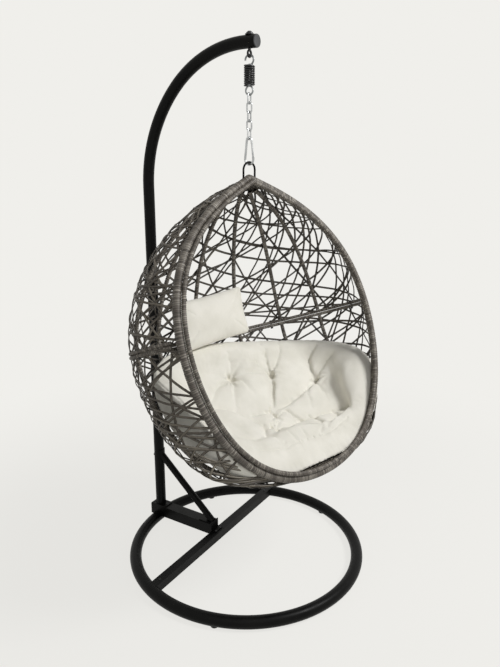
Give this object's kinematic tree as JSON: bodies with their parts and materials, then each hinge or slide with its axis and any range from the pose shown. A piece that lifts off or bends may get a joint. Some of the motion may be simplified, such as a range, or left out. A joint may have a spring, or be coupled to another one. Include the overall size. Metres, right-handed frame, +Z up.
{
  "type": "hanging egg chair",
  "caption": "Hanging egg chair: wicker egg basket with tufted seat cushion and head pillow, hung by a chain and spring from a curved tube stand on a round base.",
  "frame": {"origin": "on the floor at the centre of the base ring", "axes": "+Z up, the post stands at +Y, the basket opens towards -Y and is turned 16 degrees about Z"},
  "size_m": [1.0353, 0.964, 1.9752],
  "materials": {
    "steel_black": "satin powder coat",
    "steel_bare": "plain mill finish",
    "fastener": "black oxide",
    "plastic_black": "fine grain",
    "cap_grey": "smooth",
    "spring_steel": "black lacquer",
    "hook_steel": "zinc plated",
    "zinc": "bright zinc plated",
    "wicker": "mottled grey-brown resin strand",
    "wicker_open": "open irregular weave of resin strand",
    "cushion_cloth": "plain woven polyester"
  },
  "bodies": {
    "stand": {"base_ring_front": "steel_black", "base_ring_rear": "steel_black", "ring_sleeves": "steel_bare", "glides": "plastic_black", "crossbar": "steel_black", "crossbar_plugs": "steel_bare", "crossbar_bolts": "fastener", "spur": "steel_black", "spur_tail_cap": "plastic_black", "spur_bracket": "steel_black", "spur_bracket_bolts": "fastener", "post": "steel_black", "post_foot_plate": "steel_black", "post_foot_bolts": "fastener", "arm": "steel_black", "slip_joint_bolt": "fastener", "brace": "steel_black", "brace_saddle": "steel_black", "brace_bolt": "fastener", "brace_foot_plate": "steel_black", "arm_end_cap": "cap_grey", "eye_bolt": "fastener", "eye_bolt_nut": "fastener"},
    "spring_top": {"spring_top_hook": "hook_steel", "spring": "spring_steel"},
    "spring_bottom": {"spring_bottom_hook": "hook_steel"},
    "upper_chain": {"chain_link_1": "zinc", "chain_link_2": "zinc"},
    "lower_chain": {"chain_link_3": "zinc", "chain_link_4": "zinc", "chain_link_5": "zinc", "snap_hook": "zinc", "snap_hook_pin": "zinc"},
    "gate": {"snap_hook_gate": "zinc"},
    "basket": {"hanging_loop": "steel_black", "peak_cap": "wicker", "hoop_tube_upper": "steel_bare", "hoop_tube_lower": "steel_bare", "hoop_pins": "steel_bare", "hoop_wrap_upper": "wicker", "hoop_wrap_lower": "wicker", "trim_upper": "wicker", "trim_lower": "wicker", "ribs_upper": "wicker", "ribs_lower": "wicker", "seam_bar_upper": "wicker", "seam_bar_lower": "wicker", "seam_bolts": "fastener", "weave_upper": "wicker_open", "weave_lower": "wicker_open", "foot_patch": "wicker", "seat_cushion": "cushion_cloth", "head_pillow": "cushion_cloth"}
  },
  "joints": [
    {"name": "fore_aft_swing", "type": "hinge", "parent": "stand", "child": "spring_top", "pos_m": [0, -0.009, 1.89585], "axis": [1, 0, 0], "range_deg": [-12, 8]},
    {"name": "spring_stretch", "type": "slide", "parent": "spring_top", "child": "spring_bottom", "axis": [0, 0, -1], "range_m": [0, 0.025], "stiffness_N_per_m": 30000, "springref_m": -0.012, "deforming": ["spring"]},
    {"name": "side_swing", "type": "hinge", "parent": "spring_bottom", "child": "upper_chain", "pos_m": [0, -0.009, 1.7769], "axis": [0, 1, 0], "range_deg": [-8, 8]},
    {"name": "chain_twist", "type": "hinge", "parent": "upper_chain", "child": "lower_chain", "pos_m": [0, -0.009, 1.7192], "axis": [0, 0, 1], "range_deg": [-18, 18]},
    {"name": "basket_nod", "type": "hinge", "parent": "lower_chain", "child": "basket", "pos_m": [0, -0.009, 1.55715], "axis": [-0.9613, 0.2756, 0], "range_deg": [-12, 14]},
    {"name": "gate_open", "type": "hinge", "parent": "lower_chain", "child": "gate", "pos_m": [0, -0.0251, 1.5701], "axis": [-1, 0, 0], "range_deg": [0, 12], "stiffness_Nm_per_rad": 0.05, "springref_deg": -17.19}
  ]
}
